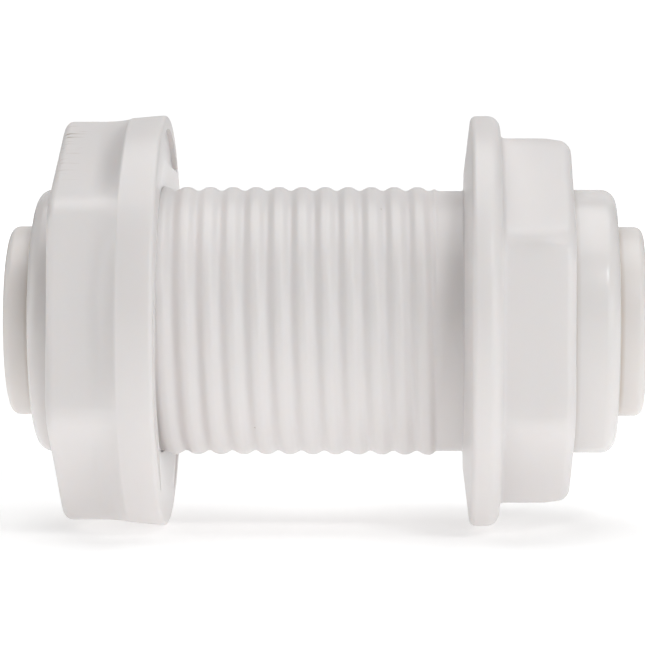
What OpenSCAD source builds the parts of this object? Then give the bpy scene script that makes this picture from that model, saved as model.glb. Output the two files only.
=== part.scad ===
// Thru hull fitting: a push-fit bulkhead union that takes a water tube at each end.
// X runs along the axis, from the threaded inboard end to the outboard end, and Z is up.
// The origin is on the axis, level with the hull side edge of the flange's rim. All sizes are in
// millimetres.

/* [Tube ports] */
// Bore that guides the tube
guide_d = 15.2; // [15.1:0.05:15.3]
// Waterway through the middle of the body
waterway_d = 11.8; // [10:0.2:13]
// Thickness of the ring that both tubes stop against
stop_l = 3; // [2:0.5:6]
// Lead-in on the mouth of the guide bore
guide_lead = 0.6; // [0.2:0.1:0.8]

/* [Body] */
// Outside diameter of the thread
thread_d = 29.6; // [29.4:0.05:29.7]
// Length of the threaded barrel, from its end to the flange
barrel_l = 42.7; // [42.7:0.5:60]
// Diameter of the hull flange
flange_d = 45.2; // [43:0.2:50]
// Thickness of the hull flange
flange_t = 3.2; // [3:0.2:5]
// Rounding of the flange's outer edge
flange_edge_r = 1.4; // [0.6:0.2:1.6]
// How much the flange thickens towards the barrel, on its hull side
flange_taper = 0.75; // [0:0.05:1]
// Radius of the flat land round the barrel that seats on the hull
land_r = 16.5; // [16:0.1:20]
// Body hexagon, across its flats
hex_af = 35.6; // [33:0.2:36]
// Body hexagon, across its rounded corners
hex_corner_d = 40.8; // [38:0.2:41]
// Body hexagon, length along the axis
hex_l = 7.8; // [7.8:0.2:12]
// Drop of the bevel on the end of the body hexagon
hex_bevel = 0.8; // [0.2:0.1:1.2]
// Length of the bevel on the end of the body hexagon
hex_bevel_l = 2.7; // [1:0.1:4]

/* [Lock nut] */
// Distance from the flange to the nut's clamping face
nut_gap = 33.35; // [3:0.05:33.35]
// Overall length of the nut
nut_l = 11.55; // [10:0.05:14]
// Nut hexagon, across its flats
nut_af = 39.1; // [37:0.1:40]
// Nut hexagon, across its rounded corners
nut_corner_d = 44.8; // [42:0.1:45]
// Angle of the nut's hexagon to the body's
nut_angle = -6; // [-30:1:30]
// Nut flange diameter at the clamping face
nut_flange_d = 45.4; // [45:0.1:50]
// Draft on the nut flange's diameter
nut_flange_draft = 0.7; // [0:0.1:1]
// Length of the nut flange
nut_flange_l = 3.65; // [3:0.05:5]
// Radial gap between the nut and the barrel
nut_clearance = 0.1; // [0.05:0.05:0.2]
// Distance from the axis to the straight side of each shallow pocket
pocket_chord = 17.3; // [17.1:0.1:18.5]
// Outer radius of the shallow pockets
pocket_r = 21.2; // [20:0.1:21.6]
// Depth of the shallow pockets
pocket_depth = 0.5; // [0.3:0.1:3]

/* [End caps] */
// Outside diameter of the caps
cap_d = 29; // [28:0.1:29.2]
// Length of the part of a cap that shows
cap_l = 4.9; // [4.9:0.1:6]
// Rounding of a cap's outer edge
cap_edge_r = 1.6; // [0.5:0.1:1.8]
// Diameter of the spigot pressed into the body
spigot_d = 24.5; // [24.3:0.05:24.55]
// Length of the spigot
spigot_l = 5.4; // [5:0.1:5.5]
// Bore that the collet's head slides into
mouth_d = 21.04; // [21:0.02:21.2]
// Bore of the lip that keeps the collet in
lip_d = 19.5; // [19.4:0.05:19.7]
// Bore at the wide end of the gripping cone
cone_d = 22.3; // [22:0.1:22.4]

/* [Collets] */
// Outside diameter of the head
head_d = 20.84; // [20.6:0.02:20.9]
// How far the head stands out of its cap
head_out = 3; // [2:0.1:4]
// Outside diameter of the sleeve behind the head
sleeve_d = 19.2; // [19:0.05:19.3]
// Outside diameter of the legs' barbs
barb_d = 21.7; // [21.4:0.1:21.8]
// Bore of the collet
collet_bore_d = 15.5; // [15.4:0.1:15.8]
// Number of legs, each with one steel tooth
leg_count = 6; // [4:2:8]
// Width of the slots between the legs
slot_w = 1.4; // [1:0.1:2]
// Rounding of the head's outer edge
head_edge_r = 0.9; // [0.3:0.1:1]

/* [Grab teeth] */
// Circle that the teeth's tips lie on, just inside the tube's surface
tooth_tip_d = 14.84; // [14.8:0.02:14.9]
// Circle that the teeth's roots lie on, inside the legs
tooth_root_d = 18.2; // [17:0.1:18.4]
// Thickness of a tooth along the axis
tooth_t = 0.5; // [0.3:0.05:0.6]
// How far a tooth leans into the fitting
tooth_lean = 1.3; // [0.8:0.1:1.8]
// Angle that a tooth covers round the tube
tooth_arc = 30; // [20:1:32]

/* [Seals] */
// Section of the O-rings
o_ring_section = 2.6; // [2.4:0.05:2.65]
// Inside diameter of the O-rings, squeezed on the tube
o_ring_bore_d = 14.9; // [14.8:0.05:15]
// Diameter of the O-ring housing
housing_d = 20.2; // [20.2:0.05:20.4]
// Outside diameter of the spacer washers
washer_d = 20; // [19.6:0.1:20]
// Bore of the spacer washers
washer_bore_d = 15.5; // [15.4:0.1:15.8]
// Thickness of the spacer washers
washer_t = 1.75; // [1.5:0.05:1.8]

/* [Hidden] */
$fn = 96;
// Small overlap that makes a cut pass clean through a face
past = 1;
// Sides of every rounded edge's arc
arc_steps = 6;

ENDS = ["inboard", "outboard"];

// The body's end faces, and the middle between them
outboard_end = flange_t + hex_l;
body_l = barrel_l + outboard_end;
middle = outboard_end - body_l / 2;

// Stations inside a port, measured outwards from the body's end face
cap_face = cap_l;
lip_top = 2.5;
lip_bottom = 1.1;
cone_end = -3.1;
counterbore_floor = -5.5;
chamber_floor = -7.5;
housing_floor = -12.3;
stop_face = stop_l / 2 - body_l / 2;
counterbore_r = 12.3;
chamber_r = cone_d / 2;

// The collet at rest, pulled out against the gripping cone
head_face = cap_face + head_out;
head_step = 4.6;
barb_start = 0.95;
barb_end = -2.8;
leg_end = -5;
leg_chamfer = 0.4;
slot_root = 2.2;
tooth_tip = -2.7;
tooth_fit = 0.03;

washer_floor = -9.55;
o_ring_centre = housing_floor + o_ring_section / 2 + 0.05;

plastic = [0.93, 0.92, 0.91];
rubber = [0.1, 0.1, 0.1];
steel = [0.75, 0.76, 0.78];

// Points of an arc, for the rounded corner of an outline
function arc(cx, cy, r, from, to) =
    [for (i = [0:arc_steps]) let (a = from + (to - from) * i / arc_steps)
        [cx + r * cos(a), cy + r * sin(a)]];

// Turns an outline of [radius, station] points about the X axis
module turned(points, angle = 360) {
    rotate([0, 90, 0])
        rotate_extrude(angle = angle)
            polygon(points);
}

// A cylinder along X, between two stations
module bar(r, from, to, sides = $fn) {
    translate([from, 0, 0])
        rotate([0, 90, 0])
            cylinder(r = r, h = to - from, $fn = sides);
}

// A hexagonal prism along X with one corner up, by its size across flats
module hexagon(af, from, to) {
    bar(af / sqrt(3), from, to, sides = 6);
}

// Places what is drawn from the outboard body end, at the end that is named
module at_end(end) {
    if (end == "outboard")
        translate([outboard_end, 0, 0]) children();
    else
        translate([-barrel_l, 0, 0]) mirror([1, 0, 0]) children();
}

module flange() {
    turned(concat(
        [[0, -flange_taper], [land_r, -flange_taper]],
        arc(flange_d / 2 - 0.3, 0.3, 0.3, -90, 0),
        arc(flange_d / 2 - flange_edge_r, flange_t - flange_edge_r, flange_edge_r, 0, 90),
        [[0, flange_t]]
    ));
}

module body_hexagon() {
    corner = hex_corner_d / 2;
    intersection() {
        hexagon(hex_af, flange_t - past, outboard_end);
        turned([
            [0, 0],
            [corner, 0],
            [corner, outboard_end - hex_bevel_l],
            [corner - hex_bevel, outboard_end],
            [0, outboard_end]
        ]);
    }
}

// Guide bore, O-ring housing, leg chamber and cap seat of one port
module port_cut() {
    guide_r = guide_d / 2;
    turned([
        [0, stop_face],
        [guide_r, stop_face],
        [guide_r, housing_floor - guide_lead],
        [guide_r + guide_lead, housing_floor],
        [housing_d / 2, housing_floor],
        [housing_d / 2, chamber_floor],
        [chamber_r, chamber_floor],
        [chamber_r, counterbore_floor],
        [counterbore_r, counterbore_floor],
        [counterbore_r, past],
        [0, past]
    ]);
}

module body() {
    color(plastic)
    difference() {
        union() {
            bar(thread_d / 2, -barrel_l, flange_t);
            flange();
            body_hexagon();
        }
        bar(waterway_d / 2, middle - stop_l, middle + stop_l);
        for (end = ENDS) at_end(end) port_cut();
    }
}

// The shallow pocket behind every second corner of the nut, open at the clamping face
module nut_pocket() {
    intersection() {
        bar(pocket_r, -pocket_depth, past);
        translate([-pocket_depth, -pocket_r, pocket_chord])
            cube([pocket_depth + past, 2 * pocket_r, pocket_r]);
    }
}

module nut_solid() {
    corner = nut_corner_d / 2;
    bevel = 0.7;
    rim = nut_flange_d / 2;
    intersection() {
        hexagon(nut_af, -nut_l, -nut_flange_l + past);
        turned([
            [0, -nut_l],
            [corner - bevel, -nut_l],
            [corner, -nut_l + bevel],
            [corner, 0],
            [0, 0]
        ]);
    }
    turned([[0, -nut_flange_l], [rim - nut_flange_draft / 2, -nut_flange_l], [rim, 0], [0, 0]]);
}

module lock_nut() {
    color(plastic)
    translate([-nut_gap, 0, 0])
    rotate([nut_angle, 0, 0])
    difference() {
        nut_solid();
        bar(thread_d / 2 + nut_clearance, -nut_l - past, past);
        for (a = [0:120:240]) rotate([a, 0, 0]) nut_pocket();
    }
}

module end_cap(end) {
    outer = cap_d / 2;
    seam = 0.2;
    color(plastic)
    at_end(end)
    turned(concat(
        [[mouth_d / 2, lip_top], [lip_d / 2, lip_top], [lip_d / 2, lip_bottom]],
        [[cone_d / 2, cone_end], [cone_d / 2, -spigot_l], [spigot_d / 2, -spigot_l]],
        [[spigot_d / 2, 0], [outer - seam, 0], [outer, seam]],
        arc(outer - cap_edge_r, cap_face - cap_edge_r, cap_edge_r, 0, 90),
        [[mouth_d / 2, cap_face]]
    ));
}

// The hole that one tooth sits in, or the tooth itself when fit is zero
module tooth_ring(fit, inner_d, arc_angle) {
    slope = tooth_lean / (tooth_root_d - tooth_tip_d) * 2;
    function station(r) = tooth_tip + (r - tooth_tip_d / 2) * slope;
    inner = inner_d / 2;
    outer = tooth_root_d / 2 + fit;
    rotate([-arc_angle / 2, 0, 0])
    turned([
        [inner, station(inner) - fit],
        [outer, station(outer) - fit],
        [outer, station(outer) + tooth_t + fit],
        [inner, station(inner) + tooth_t + fit]
    ], arc_angle);
}

// Turns what is drawn to the middle of leg i
module at_leg(i) {
    rotate([(i - 0.5) * 360 / leg_count, 0, 0]) children();
}

module collet(end) {
    bore = collet_bore_d / 2;
    head = head_d / 2;
    barb = barb_d / 2;
    pocket_arc = tooth_arc + 1;
    color(plastic)
    at_end(end)
    difference() {
        turned(concat(
            [[bore, leg_end], [barb - leg_chamfer, leg_end], [barb, leg_end + leg_chamfer]],
            [[barb, barb_end], [sleeve_d / 2, barb_start], [sleeve_d / 2, head_step]],
            [[head, head_step]],
            arc(head - head_edge_r, head_face - head_edge_r, head_edge_r, 0, 90),
            arc(bore + head_edge_r, head_face - head_edge_r, head_edge_r, 90, 180)
        ));
        for (i = [1:leg_count / 2])
            rotate([i * 360 / leg_count, 0, 0])
                translate([leg_end - past, -slot_w / 2, -barb_d])
                    cube([slot_root - leg_end + past, slot_w, 2 * barb_d]);
        for (i = [1:leg_count]) at_leg(i)
            tooth_ring(tooth_fit, tooth_tip_d - past, pocket_arc);
    }
}

module grab_tooth(end, i) {
    color(steel)
    at_end(end) at_leg(i) tooth_ring(0, tooth_tip_d, tooth_arc);
}

module spacer_washer(end) {
    color(plastic)
    at_end(end)
    difference() {
        bar(washer_d / 2, washer_floor, washer_floor + washer_t);
        bar(washer_bore_d / 2, washer_floor - past, washer_floor + washer_t + past);
    }
}

module o_ring(end) {
    section_r = o_ring_section / 2;
    color(rubber)
    at_end(end)
    translate([o_ring_centre, 0, 0])
    rotate([0, 90, 0])
    rotate_extrude()
        translate([o_ring_bore_d / 2 + section_r, 0])
            circle(r = section_r);
}

body();
lock_nut();
for (end = ENDS) {
    end_cap(end);
    collet(end);
    o_ring(end);
    spacer_washer(end);
    for (i = [1:leg_count])
        grab_tooth(end, i);
}
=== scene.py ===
# Thru hull fitting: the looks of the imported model, in its own frame. X runs along the axis, Z is up.
# Outlines are written in millimetres and become meshes in metres. Angles go round the axis in
# degrees, from +Y towards +Z.
import math

import bmesh
import bpy
from mathutils import Matrix, Vector


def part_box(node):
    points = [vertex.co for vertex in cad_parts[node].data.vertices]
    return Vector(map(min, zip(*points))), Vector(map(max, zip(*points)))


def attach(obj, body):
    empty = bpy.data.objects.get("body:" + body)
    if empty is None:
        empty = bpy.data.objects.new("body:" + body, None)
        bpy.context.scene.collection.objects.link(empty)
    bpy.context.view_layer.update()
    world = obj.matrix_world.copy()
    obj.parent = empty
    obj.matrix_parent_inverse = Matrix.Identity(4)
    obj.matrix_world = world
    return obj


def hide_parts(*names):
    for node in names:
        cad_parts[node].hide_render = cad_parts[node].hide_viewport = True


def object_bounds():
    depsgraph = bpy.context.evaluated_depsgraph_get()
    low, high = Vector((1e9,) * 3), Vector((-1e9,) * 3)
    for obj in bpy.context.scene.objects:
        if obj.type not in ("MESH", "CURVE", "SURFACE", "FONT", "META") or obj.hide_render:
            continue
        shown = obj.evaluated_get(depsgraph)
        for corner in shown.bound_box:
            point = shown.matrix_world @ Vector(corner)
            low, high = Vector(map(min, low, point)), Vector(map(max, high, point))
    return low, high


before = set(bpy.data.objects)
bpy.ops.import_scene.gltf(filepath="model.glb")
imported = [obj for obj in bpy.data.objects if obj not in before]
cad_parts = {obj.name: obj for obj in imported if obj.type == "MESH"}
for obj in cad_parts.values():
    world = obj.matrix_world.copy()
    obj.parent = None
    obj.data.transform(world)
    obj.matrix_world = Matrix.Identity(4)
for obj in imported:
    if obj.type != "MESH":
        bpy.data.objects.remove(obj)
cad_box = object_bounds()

MM = 0.001


def span(node, station=0):
    """A node's inboard and outboard ends, from a station, and its greatest half width, in mm."""
    low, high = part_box(node)
    return low.x / MM - station, high.x / MM - station, high.y / MM


# Sizes taken from the frame
BARREL_END, BODY_END, FLANGE_R = span("body")
NUT_END, NUT_FACE, NUT_RIM_R = span("lock_nut")
CAP_INNER, CAP_FACE, CAP_R = span("end_cap_outboard", BODY_END)
COLLET_INNER, HEAD_FACE, BARB_R = span("collet_outboard", BODY_END)
MIRROR_SUM = BARREL_END + BODY_END

# Thread: the barrel's ridges stand THREAD_DEPTH over its root, which goes on as a plain neck. They start
# THREAD_LEAD from the barrel's end, and the nut's thread stands THREAD_GAP off them.
PITCH = 2.54
THREAD_R = 14.78
THREAD_DEPTH = 0.42
NECK_R = THREAD_R - THREAD_DEPTH
VALLEY_AT = -5.2
THREAD_STOP = -3.5
THREAD_FADE = 0.7
THREAD_LEAD = 0.8
THREAD_GAP = 0.12
STATIONS_A_TURN = 18

# Body: the flange's thickness, its taper to a flat land round the barrel, and the hexagon
FLANGE_T = 3.2
FLANGE_TAPER = 0.75
LAND_R = 16.5
HEX_AF = 35.6
HEX_ROUND = 2.6
HEX_EDGE = 1.1
BEVEL_START = 8.3
BEVEL_R = (20.4, 19.6)

# Lock nut: its hexagon, the span of the cove that rises to the round flange, the clamping face's dish as
# (radius, depth), and the bore. NUT_SIDES adds stations, from the nut's end, along the hexagon's flats.
NUT_AF = 39.1
NUT_ROUND = 3.4
NUT_EDGE = 1.0
NUT_CORNER_R = 22.4
NUT_BEVEL = 0.7
NUT_SIDES = [(1.8, 0), (2.8, 0), (3.6, 0)]
NUT_TURN = -6
NUT_COVE = (-40.7, -37.3)
NUT_COVE_BEND = 2.1
NUT_COVE_DROP = 0.35
NUT_DISH = (18.4, 0.5)
NUT_CREST_R = 14.6
NUT_MOUTH_R = 14.81
NUT_MOUTH_L = 0.6


# ---------------------------------------------------------------- outlines

def smooth(t):
    """0 below 0, 1 above 1, and a smooth S between."""
    t = min(max(t, 0), 1)
    return t * t * (3 - 2 * t)


def soft_min(a, b, blend):
    """The smaller of two lengths, with the change from one to the other rounded over blend."""
    h = max(blend - abs(a - b), 0) / blend
    return min(a, b) - h * h * blend / 4


def rounded(corners):
    """The points of a closed outline of (station, radius, rounding) corners, each rounding an arc."""
    points = []
    for i, (x, r, rounding) in enumerate(corners):
        here = Vector((x, r))
        if rounding <= 0:
            points.append((x, r))
            continue
        back = (Vector(corners[i - 1][:2]) - here).normalized()
        ahead = (Vector(corners[(i + 1) % len(corners)][:2]) - here).normalized()
        half = back.angle(ahead) / 2
        centre = here + (back + ahead).normalized() * rounding / math.sin(half)
        reach = rounding / math.tan(half)
        start = here + back * reach - centre
        turn = start.angle_signed(here + ahead * reach - centre)
        steps = 2 + round(5 * math.sqrt(rounding))
        for k in range(steps + 1):
            spoke = Matrix.Rotation(-turn * k / steps, 2) @ start
            points.append(tuple(centre + spoke))
    return points


def quarter_turn(steps=7):
    """The sine, and the cosine's drop from 1, of evenly spaced angles from 0 to 90 degrees."""
    turns = [math.pi / 2 * i / steps for i in range(steps + 1)]
    return [(math.sin(a), 1 - math.cos(a)) for a in turns]


def hexagon_radius(phi, across_flats, rounding):
    """Radius at an angle of a hexagon with a corner at 90 degrees and its corners rounded."""
    from_corner = math.radians((phi - 30) % 60)
    from_corner = min(from_corner, math.radians(60) - from_corner)
    flat = across_flats / 2 / math.cos(math.radians(30) - from_corner)
    arc_centre = (across_flats / 2 - rounding) / math.cos(math.radians(30))
    off = arc_centre * math.sin(from_corner)
    if off >= rounding / 2:
        return flat
    return arc_centre * math.cos(from_corner) + math.sqrt(rounding ** 2 - off ** 2)


def thread_radius(x, phi):
    """Radius of the barrel's right-hand thread: broad round ridges between softer valleys."""
    turns = (x - PITCH * phi / 360 - VALLEY_AT) / PITCH
    valley = (0.5 + 0.5 * math.cos(2 * math.pi * turns)) ** 1.6
    fade = smooth((THREAD_STOP - x) / THREAD_FADE)
    return NECK_R + THREAD_DEPTH * fade * (1 - valley)


def thread_stations(start, end):
    """Evenly spaced stations along a thread."""
    count = round((end - start) / PITCH * STATIONS_A_TURN)
    return [start + (end - start) * i / count for i in range(count + 1)]


# ---------------------------------------------------------------- meshes

ROUND_ANGLES = [i * 2.0 for i in range(180)]


def hexagon_angles(turn=0):
    """Angles round a hexagonal piece, closer together at its rounded corners."""
    near = [0.3 * i for i in range(8)] + [2.6, 3.4]
    offsets = sorted({-a for a in near} | set(near) | {3.4 + 53.2 * i / 17 for i in range(1, 17)})
    return [30 + turn + 60 * k + offset for k in range(6) for offset in offsets]


def mark(mesh, name, rings):
    """Writes a point attribute: 1 on each (station, radius, reach) ring, fading to 0 at its reach."""
    layer = mesh.attributes.new(name, "FLOAT", "POINT")
    for vertex, item in zip(mesh.vertices, layer.data):
        here = (vertex.co.x / MM, math.hypot(vertex.co.y, vertex.co.z) / MM)
        item.value = max(smooth(1 - math.dist(here, (x, r)) / reach) for x, r, reach in rings)


def finish_mesh(name, mesh, body, material, nodes):
    """Smooth shading, a material, and the piece's place in the frame."""
    mesh.shade_smooth()
    mesh.set_sharp_from_angle(angle=math.radians(40))
    mesh.materials.append(material)
    piece = bpy.data.objects.new(name, mesh)
    bpy.context.collection.objects.link(piece)
    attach(piece, body)
    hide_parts(*nodes)


def ring_mesh(name, outline, angles):
    """A closed ring round X, from outline(angle), which lists as many points at every angle."""
    vertices = []
    for phi in angles:
        points = outline(phi)
        c, s = math.cos(math.radians(phi)) * MM, math.sin(math.radians(phi)) * MM
        vertices += [(x * MM, r * c, r * s) for x, r in points]
    count, turns = len(points), len(angles)
    faces = []
    for i in range(turns):
        here, there = i * count, (i + 1) % turns * count
        for j in range(count):
            k = (j + 1) % count
            faces.append((here + j, there + j, there + k, here + k))
    mesh = bpy.data.meshes.new(name)
    mesh.from_pydata(vertices, [], faces)
    clean_normals(mesh)
    return mesh


def clean_normals(mesh):
    """Merges points that coincide and turns every face outwards."""
    bm = bmesh.new()
    bm.from_mesh(mesh)
    bmesh.ops.remove_doubles(bm, verts=bm.verts, dist=1e-7)
    bmesh.ops.recalc_face_normals(bm, faces=bm.faces)
    bm.to_mesh(mesh)
    bm.free()


def sector_cutter(bm, outline, middle, half_angle, steps=16):
    """Adds to bm a closed sector of a ring round X, to cut with."""
    rings = []
    for i in range(steps + 1):
        phi = math.radians(middle - half_angle + 2 * half_angle * i / steps)
        c, s = math.cos(phi) * MM, math.sin(phi) * MM
        rings.append([bm.verts.new((x * MM, r * c, r * s)) for x, r in outline])
    for a, b in zip(rings, rings[1:]):
        for j in range(len(outline)):
            k = (j + 1) % len(outline)
            bm.faces.new((a[j], b[j], b[k], a[k]))
    bm.faces.new(rings[0])
    bm.faces.new(list(reversed(rings[-1])))


def prism_cutter(bm, outline, start, end, turn):
    """Adds to bm a prism along X over an outline of (across, up) points, turned about the axis."""
    spin = Matrix.Rotation(math.radians(turn), 4, "X")
    ends = []
    for x in (start, end):
        ends.append([bm.verts.new(spin @ Vector((x, across, up)) * MM) for across, up in outline])
    for j in range(len(outline)):
        k = (j + 1) % len(outline)
        bm.faces.new((ends[0][j], ends[0][k], ends[1][k], ends[1][j]))
    bm.faces.new(ends[0])
    bm.faces.new(list(reversed(ends[1])))


def cut(mesh, add_cutters):
    """The mesh with the solids that add_cutters draws taken away."""
    cutter_mesh = bpy.data.meshes.new("cutter")
    bm = bmesh.new()
    add_cutters(bm)
    bmesh.ops.recalc_face_normals(bm, faces=bm.faces)
    bm.to_mesh(cutter_mesh)
    bm.free()
    cutter = bpy.data.objects.new("cutter", cutter_mesh)
    blank = bpy.data.objects.new("blank", mesh)
    for item in (cutter, blank):
        bpy.context.collection.objects.link(item)
    boolean = blank.modifiers.new("cut", "BOOLEAN")
    boolean.object = cutter
    boolean.operation = "DIFFERENCE"
    boolean.solver = "EXACT"
    evaluated = blank.evaluated_get(bpy.context.evaluated_depsgraph_get())
    result = bpy.data.meshes.new_from_object(evaluated)
    for item in (cutter, blank):
        bpy.data.objects.remove(item)
    return result


def other_end(mesh):
    """A copy of an outboard piece's mesh for the inboard end."""
    copy = mesh.copy()
    for vertex in copy.vertices:
        vertex.co.x = MIRROR_SUM * MM - vertex.co.x
    copy.flip_normals()
    return copy


# ---------------------------------------------------------------- materials

def shader(name):
    """A new material with its node tree and its Principled shader."""
    material = bpy.data.materials.new(name)
    material.use_nodes = True
    tree = material.node_tree
    return material, tree, tree.nodes["Principled BSDF"]


def coordinates(tree, kind="Object"):
    """The piece's own coordinates, or its normals in them."""
    return tree.nodes.new("ShaderNodeTexCoord").outputs[kind]


def along(tree, vector, axis):
    """One coordinate of a vector."""
    node = tree.nodes.new("ShaderNodeSeparateXYZ")
    tree.links.new(vector, node.inputs["Vector"])
    return node.outputs[axis]


def noise(tree, scale, detail=2.0, where=None):
    """Noise over the piece's own coordinates or others, at so many features a metre."""
    node = tree.nodes.new("ShaderNodeTexNoise")
    node.inputs["Scale"].default_value = scale
    node.inputs["Detail"].default_value = detail
    tree.links.new(coordinates(tree) if where is None else where, node.inputs["Vector"])
    return node.outputs["Fac"]


def remap(tree, value, low, high, to_low, to_high):
    """A value moved from one range to another, and kept inside it."""
    node = tree.nodes.new("ShaderNodeMapRange")
    for key, number in zip(("From Min", "From Max", "To Min", "To Max"), (low, high, to_low, to_high)):
        node.inputs[key].default_value = number
    tree.links.new(value, node.inputs["Value"])
    return node.outputs["Result"]


def blend_colour(tree, factor, first, second):
    """A mix of two colours, each a colour or another node's output."""
    node = tree.nodes.new("ShaderNodeMix")
    node.data_type = "RGBA"
    tree.links.new(factor, node.inputs["Factor"])
    for socket, colour in (("A", first), ("B", second)):
        target = [i for i in node.inputs if i.name == socket and i.type == "RGBA"][0]
        if isinstance(colour, tuple):
            target.default_value = (*colour, 1)
        else:
            tree.links.new(colour, target)
    return [o for o in node.outputs if o.type == "RGBA"][0]


def bump(tree, height, distance, under=None):
    """Bump from a height from 0 to 1, over the bump under it."""
    node = tree.nodes.new("ShaderNodeBump")
    node.inputs["Distance"].default_value = distance
    node.inputs["Strength"].default_value = 1
    tree.links.new(height, node.inputs["Height"])
    if under is not None:
        tree.links.new(under, node.inputs["Normal"])
    return node.outputs["Normal"]


def multiply(tree, first, second):
    """The product of two values."""
    node = tree.nodes.new("ShaderNodeMath")
    node.operation = "MULTIPLY"
    tree.links.new(first, node.inputs[0])
    tree.links.new(second, node.inputs[1])
    return node.outputs[0]


def specks(tree, per_metre, size, share):
    """1 on scattered small specks: a share of a Voronoi pattern's cells has one, of a size in metres."""
    cells = tree.nodes.new("ShaderNodeTexVoronoi")
    cells.inputs["Scale"].default_value = per_metre
    tree.links.new(coordinates(tree), cells.inputs["Vector"])
    near = remap(tree, cells.outputs["Distance"], size * per_metre * 0.5, size * per_metre, 1, 0)
    split = tree.nodes.new("ShaderNodeSeparateColor")
    tree.links.new(cells.outputs["Color"], split.inputs["Color"])
    return multiply(tree, near, remap(tree, split.outputs["Red"], share, share * 1.05, 1, 0))


def marked(tree, name):
    """The value of a point attribute, 0 where the piece has none."""
    node = tree.nodes.new("ShaderNodeAttribute")
    node.attribute_name = name
    return node.outputs["Fac"]


def scuffs(tree):
    """1 on short streaks along X, in patches of the marked edges, near the top and not on end faces."""
    stretch = tree.nodes.new("ShaderNodeMapping")
    stretch.inputs["Scale"].default_value = (0.08, 1, 1)
    tree.links.new(coordinates(tree), stretch.inputs["Vector"])
    streaks = remap(tree, noise(tree, 2600, 2, stretch.outputs["Vector"]), 0.6, 0.68, 0, 0.9)
    off_ends = remap(tree, along(tree, coordinates(tree, "Normal"), "X"), -0.8, -0.4, 0, 1)
    near_top = remap(tree, along(tree, coordinates(tree), "Z"), 0.011, 0.014, 0, 1)
    patches = remap(tree, noise(tree, 45, 1), 0.48, 0.54, 0, 1)
    result = streaks
    for factor in (off_ends, near_top, patches, marked(tree, "wear")):
        result = multiply(tree, result, factor)
    return result


# Painted shade: the warm brown that darkens the marked creases and joints between parts, where shade falls.
PAINTED_SHADE_BROWN = (0.56, 0.45, 0.35)
SCUFF = (0.4, 0.33, 0.27)
SPECK = (0.36, 0.28, 0.22)


def moulded_plastic(name, light, dark, rough):
    """Satin white moulded plastic: faint mottling, mould grain, handling marks, and painted brown shade
    laid into its marked creases.
    """
    material, tree, surface = shader(name)
    colour = blend_colour(tree, remap(tree, noise(tree, 90, 2), 0.3, 0.7, 0, 1), light, dark)
    # Painted shade: the marked creases are darkened towards brown, a little unevenly.
    painted_crease_shade = multiply(tree, marked(tree, "painted_crease_shade"), remap(tree, noise(tree, 160, 3), 0.3, 0.7, 0.55, 1))
    colour = blend_colour(tree, painted_crease_shade, colour, PAINTED_SHADE_BROWN)
    colour = blend_colour(tree, scuffs(tree), colour, SCUFF)
    colour = blend_colour(tree, specks(tree, 300, 0.00014, 0.07), colour, SPECK)
    tree.links.new(colour, surface.inputs["Base Color"])
    roughness = remap(tree, noise(tree, 500, 4), 0.3, 0.7, rough, rough + 0.03)
    tree.links.new(roughness, surface.inputs["Roughness"])
    waves = bump(tree, noise(tree, 120, 1), 0.00001)
    fine = bump(tree, noise(tree, 5200, 3), 0.000004, waves)
    tree.links.new(fine, surface.inputs["Normal"])
    surface.inputs["IOR"].default_value = 1.48
    surface.inputs["Subsurface Weight"].default_value = 0.3
    surface.inputs["Subsurface Scale"].default_value = 0.0018
    surface.inputs["Subsurface Radius"].default_value = (1.0, 0.8, 0.65)
    return material


def seal_rubber():
    """Black nitrile rubber with a greasy, uneven shine."""
    material, tree, surface = shader("seal_rubber")
    shade = remap(tree, noise(tree, 900, 3), 0.3, 0.7, 0, 1)
    colour = blend_colour(tree, shade, (0.022, 0.022, 0.024), (0.04, 0.04, 0.041))
    tree.links.new(colour, surface.inputs["Base Color"])
    tree.links.new(remap(tree, noise(tree, 350, 2), 0.35, 0.65, 0.3, 0.55), surface.inputs["Roughness"])
    tree.links.new(bump(tree, noise(tree, 6000, 2), 0.00001), surface.inputs["Normal"])
    return material


def tooth_steel():
    """Stamped stainless steel with fine rolling marks."""
    material, tree, surface = shader("tooth_steel")
    shade = remap(tree, noise(tree, 2500, 4), 0.3, 0.7, 0, 1)
    colour = blend_colour(tree, shade, (0.6, 0.6, 0.61), (0.66, 0.66, 0.66))
    tree.links.new(colour, surface.inputs["Base Color"])
    tree.links.new(remap(tree, noise(tree, 3000, 3), 0.3, 0.7, 0.22, 0.38), surface.inputs["Roughness"])
    tree.links.new(bump(tree, noise(tree, 9000, 2), 0.000004), surface.inputs["Normal"])
    surface.inputs["Metallic"].default_value = 1
    return material


WHITE = moulded_plastic("moulded_white", (0.783, 0.752, 0.742), (0.774, 0.744, 0.734), 0.33)
CAP_WHITE = moulded_plastic("cap_white", (0.781, 0.753, 0.742), (0.773, 0.746, 0.734), 0.24)
COLLET_WHITE = moulded_plastic("collet_white", (0.774, 0.74, 0.72), (0.766, 0.732, 0.712), 0.34)
RUBBER = seal_rubber()
STEEL = tooth_steel()


# ---------------------------------------------------------------- body

# One port's inside, as (station from the body's end face, radius, rounding)
PORT = [
    (0, 12.3, 0.15), (-5.5, 12.3, 0), (-5.5, 11.15, 0.1), (-7.5, 11.15, 0), (-7.5, 10.1, 0.1),
    (-12.3, 10.1, 0.1), (-12.3, 8.2, 0.1), (-12.9, 7.6, 0.1), (-25.35, 7.6, 0.15), (-25.35, 5.9, 0.3),
]


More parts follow.
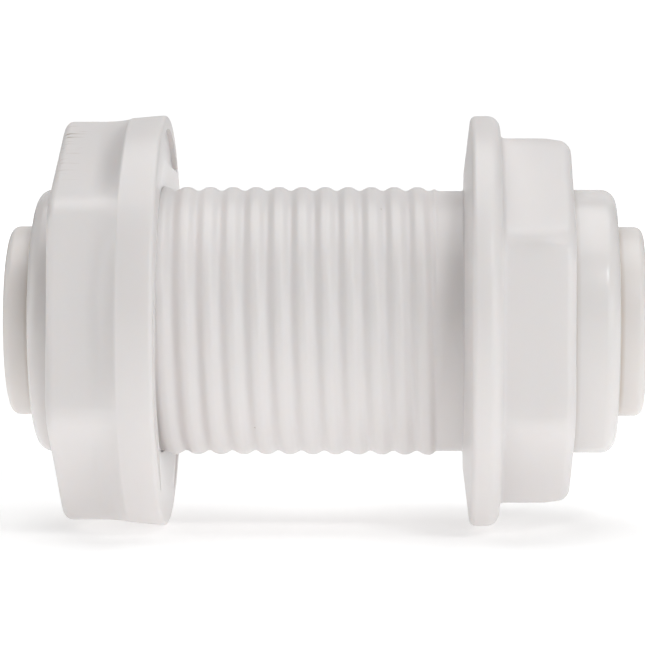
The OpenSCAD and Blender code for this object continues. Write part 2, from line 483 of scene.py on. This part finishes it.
def body_outline(phi):
    """The body's section: threaded barrel, flange, hexagon and both ports."""
    flat = hexagon_radius(phi, HEX_AF, HEX_ROUND)
    barrel = [(x, thread_radius(x, phi), 0) for x in thread_stations(BARREL_END + THREAD_LEAD, THREAD_STOP)]
    sides = [(x, 0) for x in (4.4, 5.6, 7.0, BEVEL_START)]
    sides += [(BODY_END - HEX_EDGE + HEX_EDGE * s, HEX_EDGE * c) for s, c in quarter_turn()]
    hexagon = []
    for x, drop in sides:
        part = (x - BEVEL_START) / (BODY_END - BEVEL_START)
        cone = BEVEL_R[0] + (BEVEL_R[1] - BEVEL_R[0]) * part
        hexagon.append((x, soft_min(flat, cone, 0.5) - drop, 0))
    return rounded(
        [(BARREL_END, THREAD_R - 0.9, 0.15)] + barrel
        + [(-FLANGE_TAPER, NECK_R, 0.3), (-FLANGE_TAPER, LAND_R, 0.4), (0, FLANGE_R, 0.7)]
        + [(FLANGE_T, FLANGE_R, 1.4), (FLANGE_T, flat, 0.6)] + hexagon
        + [(BODY_END + s, r, rounding) for s, r, rounding in PORT]
        + [(BARREL_END - s, r, rounding) for s, r, rounding in reversed(PORT)]
    )


# ---------------------------------------------------------------- lock nut

def nut_outline(phi):
    """The nut's section: hexagon, cove, round flange, dished face and threaded bore."""
    flat = hexagon_radius(phi - NUT_TURN, NUT_AF, NUT_ROUND)
    rise = -soft_min(flat - (NUT_RIM_R - NUT_COVE_DROP), 0, 0.4)
    dish_r, dish = NUT_DISH
    bore = [(NUT_END, NUT_MOUTH_R, 0)]
    for x in thread_stations(NUT_END + NUT_MOUTH_L, NUT_FACE - NUT_MOUTH_L):
        bore.append((x, max(thread_radius(x, phi) + THREAD_GAP, NUT_CREST_R), 0))
    bore.append((NUT_FACE - dish, NUT_MOUTH_R, 0))
    cove, steps = [], 12
    for i in range(steps + 1):
        x = NUT_COVE[0] + (NUT_COVE[1] - NUT_COVE[0]) * i / steps
        cove.append((x, flat + rise * (i / steps) ** NUT_COVE_BEND, 0 if i < steps else 0.5))
    edge = [(NUT_EDGE * (1 - s), NUT_EDGE * c) for s, c in reversed(quarter_turn())]
    sides = []
    for x, drop in edge + NUT_SIDES:
        cone = NUT_CORNER_R - NUT_BEVEL + min(x, NUT_BEVEL + 0.4)
        sides.append((NUT_END + x, soft_min(flat, cone, 0.4) - drop, 0))
    return rounded(bore + [(NUT_FACE, dish_r, 0.8), (NUT_FACE, NUT_RIM_R, 0.45)] + cove[::-1] + sides[::-1])


def nut_pockets(bm):
    """A cored pocket behind every second corner of the nut, open at its clamping face."""
    chord, outer, reach, depth = 17.3, 21.2, 11.6, 0.5
    edge = math.asin(reach / outer)
    arc = [edge - 2 * edge * i / 20 for i in range(21)]
    outline = [(-reach, chord), (reach, chord)] + [(outer * math.sin(a), outer * math.cos(a)) for a in arc]
    for turn in (0, 120, 240):
        prism_cutter(bm, outline, NUT_FACE - depth, NUT_FACE + 1, NUT_TURN + turn)


# ---------------------------------------------------------------- caps and collets

# The round cap's mouth and the collet's head in it. Stations are from the body's end face.
MOUTH_R = 10.52
HEAD_R = 10.42


def cap_outline(_):
    """An end cap's section: spigot, visible round edge, mouth, lip and gripping cone."""
    corners = [
        (2.5, MOUTH_R, 0.1), (2.5, 9.75, 0.15), (1.1, 9.75, 0.3), (-3.1, 11.15, 0.3),
        (CAP_INNER, 11.15, 0.1), (CAP_INNER, 12.25, 0.3), (0, 12.25, 0),
        (0, CAP_R, 0.2), (0.7, CAP_R, 0), (CAP_FACE, CAP_R, 1.6), (CAP_FACE, MOUTH_R, 0.25),
    ]
    return rounded([(BODY_END + s, r, rounding) for s, r, rounding in corners])


def collet_outline(_):
    """A collet's section: head, sleeve and barbed legs."""
    corners = [
        (COLLET_INNER, 7.75, 0.15), (COLLET_INNER, BARB_R, 0.4), (-2.8, BARB_R, 0.2), (0.95, 9.6, 0.5),
        (4.6, 9.6, 0.15), (4.6, HEAD_R, 0.15), (5.6, HEAD_R, 0),
        (HEAD_FACE, HEAD_R, 0.9), (HEAD_FACE, 7.75, 0.9),
    ]
    return rounded([(BODY_END + s, r, rounding) for s, r, rounding in corners])


def collet_cutters(bm):
    """The slots between the legs, and the slanting pockets that hold the teeth."""
    slot_half, slot_root, fit = 0.7, 2.2, 0.03
    tip_r, root_r, tip_station, lean, thickness = 7.42, 9.1, -2.7, 1.3, 0.5
    inner = tip_r - 0.5
    inner_station = tip_station - 0.5 * lean / (root_r - tip_r)
    slot = [(-slot_half, 5), (slot_half, 5), (slot_half, 12.5), (-slot_half, 12.5)]
    pocket = [
        (inner_station - fit, inner), (tip_station + lean - fit, root_r + fit),
        (tip_station + lean + thickness + fit, root_r + fit), (inner_station + thickness + fit, inner),
    ]
    for i in range(6):
        prism_cutter(bm, slot, BODY_END + COLLET_INNER - 1, BODY_END + slot_root, 60 * i)
        sector_cutter(bm, [(BODY_END + s, r) for s, r in pocket], 60 * i, 15.5, 20)


def build():
    """Every piece that stands for a CAD node."""
    body = ring_mesh("body_shell", body_outline, hexagon_angles())
    # Painted shade in the crease where the hexagon meets the cap.
    mark(body, "painted_crease_shade", [(BODY_END, CAP_R, 0.35)])
    finish_mesh("body_shell", body, "fitting", WHITE, ["body"])
    nut = cut(ring_mesh("nut_shell", nut_outline, hexagon_angles(NUT_TURN)), nut_pockets)
    mark(nut, "wear", [(NUT_END + 0.8, 20.6, 2.4)])
    finish_mesh("nut_shell", nut, "nut", WHITE, ["lock_nut"])
    cap = ring_mesh("cap_outboard", cap_outline, ROUND_ANGLES)
    # Painted shade at the cap's joint with the hexagon and round its mouth.
    mark(cap, "painted_crease_shade", [(BODY_END, CAP_R, 0.3), (BODY_END + CAP_FACE, 10.5, 0.6)])
    collet = cut(ring_mesh("collet_head_outboard", collet_outline, ROUND_ANGLES), collet_cutters)
    # Painted shade where the collet head sits in the cap's mouth.
    mark(collet, "painted_crease_shade", [(BODY_END + CAP_FACE, HEAD_R, 0.6)])
    ends = {"outboard": (cap, collet), "inboard": (other_end(cap), other_end(collet))}
    for end, (cap_here, collet_here) in ends.items():
        finish_mesh("cap_" + end, cap_here, "fitting", CAP_WHITE, ["end_cap_" + end])
        name, rides = "collet_head_" + end, end + "_collet"
        finish_mesh(name, collet_here, rides, COLLET_WHITE, ["collet_" + end])


def paint_cad_nodes():
    """Materials of the CAD nodes that stay: washers, O-rings and teeth."""
    looks = {"spacer_washer": COLLET_WHITE, "o_ring": RUBBER, "grab_tooth": STEEL}
    for name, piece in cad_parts.items():
        for start, material in looks.items():
            if name.startswith(start):
                piece.data.materials.clear()
                piece.data.materials.append(material)


# ---------------------------------------------------------------- studio

def floor():
    """A pale floor that glows a little, so that it stays white under the fitting."""
    mesh = bpy.data.meshes.new("floor")
    half = 3.0
    z = cad_box[0].z - 0.00005
    corners = [(-half, -half, z), (half, -half, z), (half, half, z), (-half, half, z)]
    mesh.from_pydata(corners, [], [(0, 1, 2, 3)])
    material, tree, surface = shader("floor")
    pale = blend_colour(tree, noise(tree, 8, 2), (0.84, 0.84, 0.84), (0.88, 0.88, 0.88))
    tree.links.new(pale, surface.inputs["Base Color"])
    surface.inputs["Roughness"].default_value = 0.9
    surface.inputs["Emission Color"].default_value = (1, 1, 1, 1)
    away = tree.nodes.new("ShaderNodeVectorMath")
    away.operation = "LENGTH"
    tree.links.new(coordinates(tree), away.inputs[0])
    glow = remap(tree, away.outputs["Value"], 0.15, 0.6, 0.4, 1)
    tree.links.new(glow, surface.inputs["Emission Strength"])
    mesh.materials.append(material)
    ground = bpy.data.objects.new("floor", mesh)
    bpy.context.collection.objects.link(ground)


def soft_light(name, place, size, power, colour=(1, 1, 1)):
    """A square area light, in metres, aimed at the middle of the fitting."""
    lamp = bpy.data.lights.new(name, "AREA")
    lamp.size = size
    lamp.energy = power
    lamp.color = colour
    light = bpy.data.objects.new(name, lamp)
    light.location = place
    light.visible_camera = False
    aim = (cad_box[0] + cad_box[1]) / 2
    light.rotation_euler = (aim - Vector(place)).to_track_quat("-Z", "Y").to_euler()
    bpy.context.collection.objects.link(light)


def backdrop(fill):
    """A white surround, which lights the fitting from everywhere with a fill of its own."""
    world = bpy.data.worlds.new("surround")
    bpy.context.scene.world = world
    world.use_nodes = True
    tree = world.node_tree
    seen = tree.nodes["Background"]
    seen.inputs["Color"].default_value = (1, 1, 1, 1)
    seen.inputs["Strength"].default_value = 1.05
    lit = tree.nodes.new("ShaderNodeBackground")
    lit.inputs["Color"].default_value = (1, 1, 1, 1)
    lit.inputs["Strength"].default_value = fill
    rays = tree.nodes.new("ShaderNodeLightPath")
    choose = tree.nodes.new("ShaderNodeMixShader")
    tree.links.new(rays.outputs["Is Camera Ray"], choose.inputs["Fac"])
    tree.links.new(lit.outputs["Background"], choose.inputs[1])
    tree.links.new(seen.outputs["Background"], choose.inputs[2])
    tree.links.new(choose.outputs["Shader"], tree.nodes["World Output"].inputs["Surface"])


def camera():
    """A long lens, a little above the axis and looking slightly towards the nut."""
    distance, rise = 0.368, math.radians(3.9)
    lens = bpy.data.cameras.new("camera")
    lens.lens = 185.8
    lens.sensor_width = 36
    eye = bpy.data.objects.new("camera", lens)
    eye.location = (-0.005, -distance * math.cos(rise), distance * math.sin(rise))
    aim = Vector((-0.0163, 0, -0.0002))
    eye.rotation_euler = (aim - eye.location).to_track_quat("-Z", "Y").to_euler()
    bpy.context.collection.objects.link(eye)
    bpy.context.scene.camera = eye


def studio():
    """Floor, surround, soft lights and camera."""
    floor()
    backdrop(0.09)
    soft_light("light_top", (-0.01, 0.05, 0.7), 0.7, 3.45)
    soft_light("light_key", (0.19, -0.45, 0.44), 0.1, 0.6)
    soft_light("light_front_right", (0.45, -0.7, 0.1), 0.4, 1.4, (0.93, 0.98, 1))
    soft_light("light_right", (0.7, -0.5, 0.15), 0.4, 0.6)
    soft_light("light_left", (-0.8, -0.1, 0.2), 0.4, 0.75)
    soft_light("light_back", (0, 0.8, 0.3), 0.8, 1.1)
    camera()
    bpy.context.scene.view_settings.view_transform = "Standard"


build()
paint_cad_nodes()
studio()
